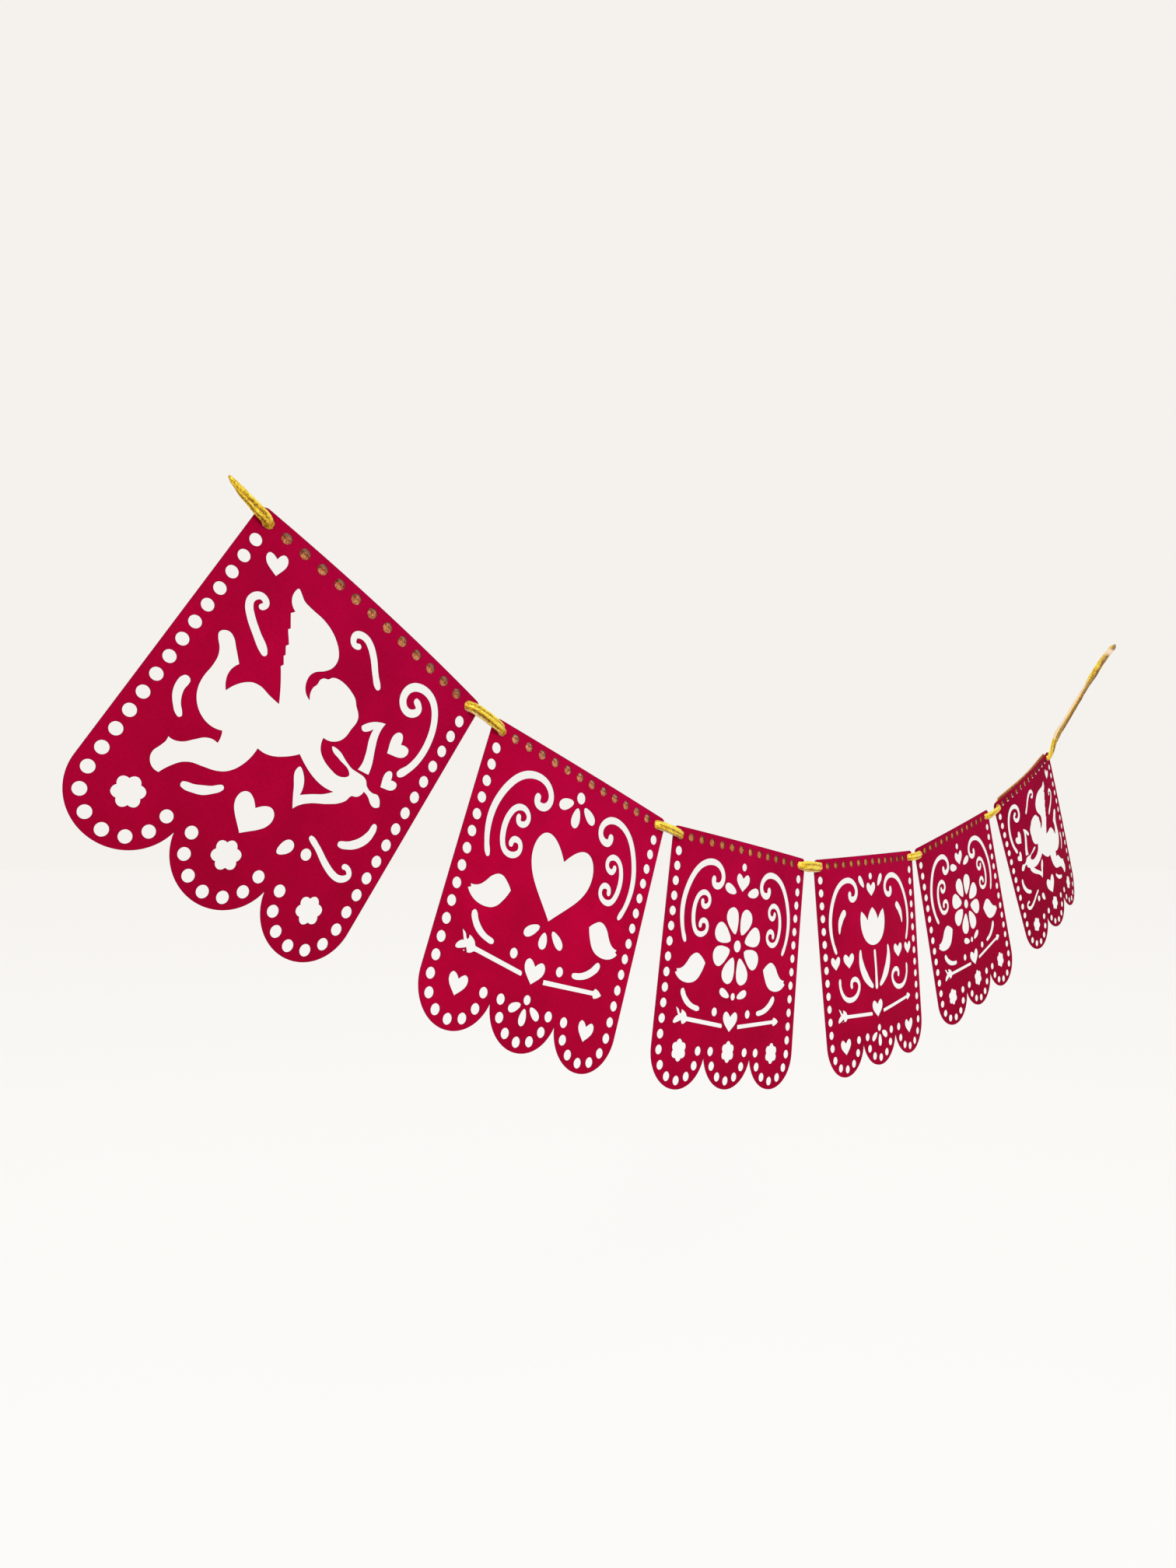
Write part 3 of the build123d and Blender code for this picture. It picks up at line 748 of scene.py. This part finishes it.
def ribbon(fronts):
    route, crossings = ribbon_route(fronts)
    path = ribbon_path(route)
    along = [0.0]
    for a, b in zip(path, path[1:]):
        along.append(along[-1] + (b - a).length / MM)
    holes = [min(zip(path, along), key=lambda entry: (entry[0] - hole).length)[1] for hole in crossings]
    total = along[-1]
    keys = ribbon_keys(holes, total)
    verts = []
    tints = {"painted_shading": [], "copper": [], "pale": []}
    for i, place in enumerate(path):
        up, out = across(path, i)
        s = along[i]
        half_width, half_depth, lift, folds, roll = at_keys(keys, s)
        roll = math.radians(roll)
        behind, card = behind_share(holes, s)
        loose = (s - holes[-1]) / (total - holes[-1])
        pale_patch = smooth_step((loose - PALE_PATCH[0]) / PALE_PATCH_EASE) * smooth_step((PALE_PATCH[1] - loose) / PALE_PATCH_EASE)
        for k in range(RIBBON_SIDES):
            a = 2 * math.pi * k / RIBBON_SIDES
            wave = fold_wave(a, s)
            swell = 1 + FOLD_HEIGHT * folds * wave
            u = half_width * math.cos(a) * swell
            v = half_depth * math.sin(a) * swell
            u, v = u * math.cos(roll) - v * math.sin(roll), u * math.sin(roll) + v * math.cos(roll)
            u += lift
            v += AGAINST_CARD * behind
            verts.append(place + up * (u * MM) + out * (v * MM))
            height = math.cos(a)
            facing = smooth_step(2 * math.sin(a) + 0.5)
            selvedge = selvedge_at(height, facing, loose, behind, card, s > holes[0])
            # Painted shading: darker in the folds' hollows and under the loose end, lighter on top, with a
            # painted glint
            tints["painted_shading"].append(painted_shading_at(height, wave, folds, loose, behind, card))
            tints["copper"].append(behind * facing * COPPER[card])
            tints["pale"].append(max(pale_patch, selvedge))
    return ribbon_mesh(verts, [s / MAP_LENGTH for s in along], tints), path


def ribbon_mesh(verts, along, tints):
    """A closed tube of rings, with its map running along it and its tints as point attributes."""
    sides = RIBBON_SIDES
    faces = []
    places = []
    for i in range(len(along) - 1):
        low, high = i * sides, (i + 1) * sides
        for k in range(sides):
            n = (k + 1) % sides
            faces.append((low + k, low + n, high + n, high + k))
            u0, u1 = k / sides, (k + 1) / sides
            places += [(u0, along[i]), (u1, along[i]), (u1, along[i + 1]), (u0, along[i + 1])]
    first_of_last = len(verts) - sides
    faces.append(tuple(reversed(range(sides))))
    faces.append(tuple(first_of_last + k for k in range(sides)))
    places += [(0.5, along[0])] * sides + [(0.5, along[-1])] * sides
    mesh = bpy.data.meshes.new("gold_ribbon")
    mesh.from_pydata([tuple(v) for v in verts], [], faces)
    mesh.update()
    layer = mesh.uv_layers.new(name="along")
    layer.data.foreach_set("uv", [c for uv in places for c in uv])
    for name, values in tints.items():
        mesh.attributes.new(name, "FLOAT", "POINT").data.foreach_set("value", values)
    for polygon in mesh.polygons:
        polygon.use_smooth = True
    bm = bmesh.new()
    bm.from_mesh(mesh)
    bmesh.ops.recalc_face_normals(bm, faces=bm.faces)
    bm.to_mesh(mesh)
    bm.free()
    thing = bpy.data.objects.new("gold_ribbon", mesh)
    bpy.context.scene.collection.objects.link(thing)
    return thing


# Gold weave, from painted shade in its hollows to painted highlight on its crests, on its gold and its
# coppery side

GOLD_SHADE_TO_HIGHLIGHT = (
    (0.0, linear(92, 56, 6)), (0.28, linear(156, 108, 14)), (0.55, linear(216, 166, 20)),
    (0.78, linear(252, 212, 32)), (1.0, linear(255, 246, 96)),
)
COPPER_SIDE = (
    (0.22, linear(80, 16, 6)), (0.42, linear(170, 62, 22)), (0.62, linear(240, 124, 56)),
    (0.85, linear(255, 200, 148)),
)
PALE_CREAM = linear(255, 226, 196)
TINT_SHARE = 0.85
# Metallic share of the gold, and how much less of it a coppery or pale place has
GOLD_METAL = 0.38
MATT_LOSS = 0.34
WEAVE_ROUGHNESS = 0.36
# Relief of the weave in metres
WEAVE_RELIEF = 0.0002


def weighted_sum(tree, terms, offset):
    """The sum of outputs times their weights and of an offset, kept between 0 and 1."""
    total, weight = terms[0]
    total = math_node(tree, "MULTIPLY", total, weight)
    for output, weight in terms[1:]:
        total = math_node(tree, "ADD", total, math_node(tree, "MULTIPLY", output, weight))
    return math_node(tree, "ADD", total, offset, clamp=True)


def gold_weave():
    """Woven metallic gold: glittering cells in rows, with painted highlight in lemon on the crests and
    painted shade in brown in the hollows. Behind the cards its duller coppery side shows, with ribs across,
    and its selvedge is pale."""
    material, tree, shader, _ = new_material("gold_weave")
    link = tree.links.new
    where = node(tree, "ShaderNodeUVMap", uv_map="along").outputs["UV"]
    cells = texture(tree, "ShaderNodeTexVoronoi", where, {"Scale": 28.0, "Randomness": 0.85})
    spark = node(tree, "ShaderNodeSeparateColor")
    link(cells.outputs["Color"], spark.inputs[0])
    drift = texture(tree, "ShaderNodeTexNoise", where, {"Scale": 5.0, "Detail": 2.0}).outputs["Fac"]
    rib = texture(tree, "ShaderNodeTexWave", where,
                  {"Scale": 6.0, "Distortion": 1.2, "Detail": 1.0, "Detail Scale": 4.0},
                  bands_direction="Y").outputs["Fac"]
    painted_shading, copper, pale = (attribute(tree, name) for name in ("painted_shading", "copper", "pale"))
    # The painted shading darkens the gold in the hollows and lights it on the crests
    light = weighted_sum(tree, [(painted_shading, -0.85), (spark.outputs[0], 0.6), (drift, 0.5)], 0.5)
    dull = weighted_sum(tree, [(rib, 0.4), (spark.outputs[0], 0.35), (drift, 0.35), (painted_shading, -0.5)], 0.25)
    gold = ramp(tree, light, GOLD_SHADE_TO_HIGHLIGHT)
    back = ramp(tree, dull, COPPER_SIDE)
    base = mix(tree, math_node(tree, "MULTIPLY", copper, TINT_SHARE), gold, back)
    base = mix(tree, math_node(tree, "MULTIPLY", pale, TINT_SHARE), base, PALE_CREAM)
    link(base, shader.inputs["Base Color"])
    matt = math_node(tree, "MULTIPLY", math_node(tree, "MAXIMUM", pale, copper), MATT_LOSS)
    link(math_node(tree, "SUBTRACT", GOLD_METAL, matt), shader.inputs["Metallic"])
    shader.inputs["Roughness"].default_value = WEAVE_ROUGHNESS
    height = math_node(tree, "ADD", spark.outputs[1], math_node(tree, "MULTIPLY", rib, copper))
    bump = node(tree, "ShaderNodeBump", {"Strength": 0.8, "Distance": WEAVE_RELIEF})
    link(height, bump.inputs["Height"])
    link(bump.outputs["Normal"], shader.inputs["Normal"])
    return material


# Stage and light

# The background's colour, and how brightly the surroundings light the object
BACKDROP = linear(245, 242, 238)
LAMP_LEVEL = 0.62
# How far the floor lies below the ribbon's left end, and half its width, in metres
FLOOR_DROP = 0.75
FLOOR_HALF = 60.0
FLOOR_PAINT = (0.8, 0.79, 0.77)
FLOOR_ROUGHNESS = 0.9
# The floor's lit part is darker than the background, so its glow makes up for that. First comes the glow's
# share of what is seen, then its colour, which goes by the camera's height over the floor as a share of the
# distance from the place below the camera
FLOOR_GLOW = 0.9
FLOOR_STOPS = ((0.0, (0.935, 0.910, 0.875)), (0.2, (0.982, 0.965, 0.940)), (0.5, (1.0, 0.990, 0.970)))


def seen_rays(tree):
    """1 for rays that show the background: from the camera, a gloss or a clear thing."""
    rays = tree.nodes.new("ShaderNodeLightPath")
    direct = math_node(tree, "MAXIMUM", rays.outputs["Is Camera Ray"], rays.outputs["Is Glossy Ray"])
    return math_node(tree, "MAXIMUM", direct, rays.outputs["Is Transmission Ray"])


def shared(tree, out, share, a, b):
    """Sends a mix of two shaders to the output."""
    both = tree.nodes.new("ShaderNodeMixShader")
    for output, socket in zip((share, a, b), both.inputs):
        tree.links.new(output, socket)
    tree.links.new(both.outputs[0], out.inputs["Surface"])


def world():
    place = bpy.data.worlds.new("studio")
    bpy.context.scene.world = place
    place.use_nodes = True
    tree = place.node_tree
    tree.nodes.clear()
    out = tree.nodes.new("ShaderNodeOutputWorld")
    lamp = node(tree, "ShaderNodeBackground", {"Color": (1, 1, 1, 1), "Strength": LAMP_LEVEL})
    seen = node(tree, "ShaderNodeBackground", {"Color": (*BACKDROP, 1), "Strength": 1.0})
    shared(tree, out, seen_rays(tree), lamp.outputs[0], seen.outputs[0])


def floor():
    """A pale floor far below, a little brighter near the viewer."""
    mesh = bpy.data.meshes.new("floor")
    half = FLOOR_HALF
    corners = [(-half, -half, 0), (half, -half, 0), (half, half, 0), (-half, half, 0)]
    mesh.from_pydata(corners, [], [(0, 1, 2, 3)])
    thing = bpy.data.objects.new("floor", mesh)
    bpy.context.scene.collection.objects.link(thing)
    thing.location = (CAMERA_PLACE[0], CAMERA_PLACE[1], -FLOOR_DROP)
    material, tree, shader, out = new_material("floor_white")
    link = tree.links.new
    shader.inputs["Base Color"].default_value = (*FLOOR_PAINT, 1)
    shader.inputs["Roughness"].default_value = FLOOR_ROUGHNESS
    shader.inputs["Specular IOR Level"].default_value = 0.0
    where = tree.nodes.new("ShaderNodeTexCoord")
    away = node(tree, "ShaderNodeVectorMath", operation="LENGTH")
    link(where.outputs["Object"], away.inputs[0])
    near = math_node(tree, "DIVIDE", FLOOR_DROP + CAMERA_PLACE[2], away.outputs["Value"])
    glow = node(tree, "ShaderNodeEmission", {"Strength": 1.0})
    link(ramp(tree, near, FLOOR_STOPS), glow.inputs["Color"])
    share = math_node(tree, "MULTIPLY", seen_rays(tree), FLOOR_GLOW)
    shared(tree, out, share, shader.outputs[0], glow.outputs[0])
    mesh.materials.append(material)


def sun(name, towards, strength, angle):
    data = bpy.data.lights.new(name, "SUN")
    data.energy = strength
    data.angle = math.radians(angle)
    thing = bpy.data.objects.new(name, data)
    bpy.context.scene.collection.objects.link(thing)
    thing.rotation_euler = Vector(towards).to_track_quat("Z", "Y").to_euler()


camera()
world()
floor()
sun("key", (-0.5, -0.75, 0.55), 1.5, 14)
sun("fill", (0.35, 0.9, 0.25), 1.0, 40)
bpy.context.scene.view_settings.view_transform = "Standard"

fronts = {name: front_of(frame["nodes"][name]) for name in CARDS}
gold = gold_weave()
strip, ribbon_line = ribbon(fronts)
strip.data.materials.append(gold)
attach(strip, "root")
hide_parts("ribbon")

cut = paper_edge()
for number, (name, bends) in enumerate(CARDS.items()):
    thing = card_mesh(name, fronts[name], bends)
    # Painted shade too: the cards' reds grow darker towards the far end of the row
    reds = [(CARD_DYE_AND_SHADE[number] * share, blue) for share, blue in SHADES]
    colours = [linear(red, 0, red * blue) for red, blue in reds]
    thing.data.materials.append(paper("paper_" + str(number + 1), number, *colours))
    thing.data.materials.append(cut)
    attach(thing, "root")
    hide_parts(name)

bpy.context.view_layer.update()
